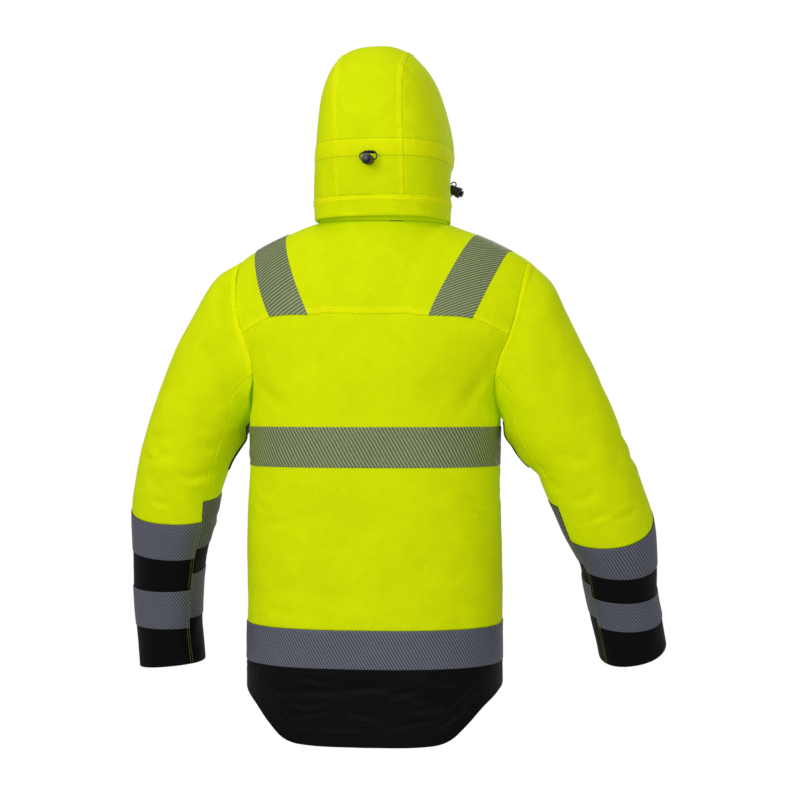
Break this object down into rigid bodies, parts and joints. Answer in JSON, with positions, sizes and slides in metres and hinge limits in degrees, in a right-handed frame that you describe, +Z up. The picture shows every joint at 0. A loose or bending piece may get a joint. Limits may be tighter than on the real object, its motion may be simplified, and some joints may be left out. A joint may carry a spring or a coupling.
{
  "type": "hooded high-visibility work jacket",
  "caption": "Hollow hooded winter work jacket in yellow and black cloth with segmented reflective tapes, black drop tail, cord locks on the hood and a front zip with a hinged pull tab.",
  "frame": {"origin": "middle of the neck ring, at the height where the collar meets the shoulders, where a wearer's neck passes", "axes": "+X to the wearer's right, +Y the way the wearer faces, +Z up"},
  "size_m": [0.8382, 0.2942, 1.0611],
  "materials": {
    "hi_vis_yellow": "satin",
    "black_fabric": "satin",
    "tape_on_yellow": "satin",
    "tape_on_black": "satin",
    "zip_black": "satin",
    "black_plastic": "satin",
    "cord_black": "matte",
    "zip_metal": "satin"
  },
  "bodies": {
    "jacket": {"back_yoke": "hi_vis_yellow", "back_panel": "hi_vis_yellow", "back_tail": "black_fabric", "front_left": "hi_vis_yellow", "front_left_lower": "black_fabric", "front_right": "hi_vis_yellow", "front_right_lower": "black_fabric", "waist_tape_back": "tape_on_yellow", "waist_tape_left": "tape_on_yellow", "waist_tape_right": "tape_on_yellow", "hem_tape_back": "tape_on_black", "hem_tape_left": "tape_on_black", "hem_tape_right": "tape_on_black", "shoulder_tape_left_back": "tape_on_yellow", "shoulder_tape_left_front": "tape_on_yellow", "shoulder_tape_right_back": "tape_on_yellow", "shoulder_tape_right_front": "tape_on_yellow", "sleeve_left_top": "hi_vis_yellow", "sleeve_left_under": "hi_vis_yellow", "cuff_left_top": "black_fabric", "cuff_left_under": "black_fabric", "sleeve_tape_left_upper_top": "tape_on_black", "sleeve_tape_left_upper_under": "tape_on_black", "sleeve_tape_left_lower_top": "tape_on_black", "sleeve_tape_left_lower_under": "tape_on_black", "sleeve_right_top": "hi_vis_yellow", "sleeve_right_under": "hi_vis_yellow", "cuff_right_top": "black_fabric", "cuff_right_under": "black_fabric", "sleeve_tape_right_upper_top": "tape_on_black", "sleeve_tape_right_upper_under": "tape_on_black", "sleeve_tape_right_lower_top": "tape_on_black", "sleeve_tape_right_lower_under": "tape_on_black", "vent_left": "zip_black", "vent_right": "zip_black", "hood_face_band": "hi_vis_yellow", "hood_left": "hi_vis_yellow", "hood_centre": "hi_vis_yellow", "hood_right": "hi_vis_yellow", "hood_base_band": "hi_vis_yellow", "collar": "hi_vis_yellow", "zip_tape_right": "zip_black", "zip_chain": "zip_black", "zip_tape_left": "zip_black", "zip_slider": "zip_metal", "cord_lock_left": "black_plastic", "cord_lock_button_left": "black_plastic", "cord_left": "cord_black", "cord_lock_right": "black_plastic", "cord_lock_button_right": "black_plastic", "cord_right": "cord_black", "cord_lock_back": "black_plastic", "cord_lock_button_back": "black_plastic", "cord_back": "cord_black"},
    "pull_tab": {"zip_pull_tab": "zip_metal"}
  },
  "joints": [
    {"name": "pull_tab_hinge", "type": "hinge", "parent": "jacket", "child": "pull_tab", "pos_m": [0.01017, 0.09673, 0.00776], "axis": [0.9945, -0.1045, 0], "range_deg": [0, 150]}
  ]
}
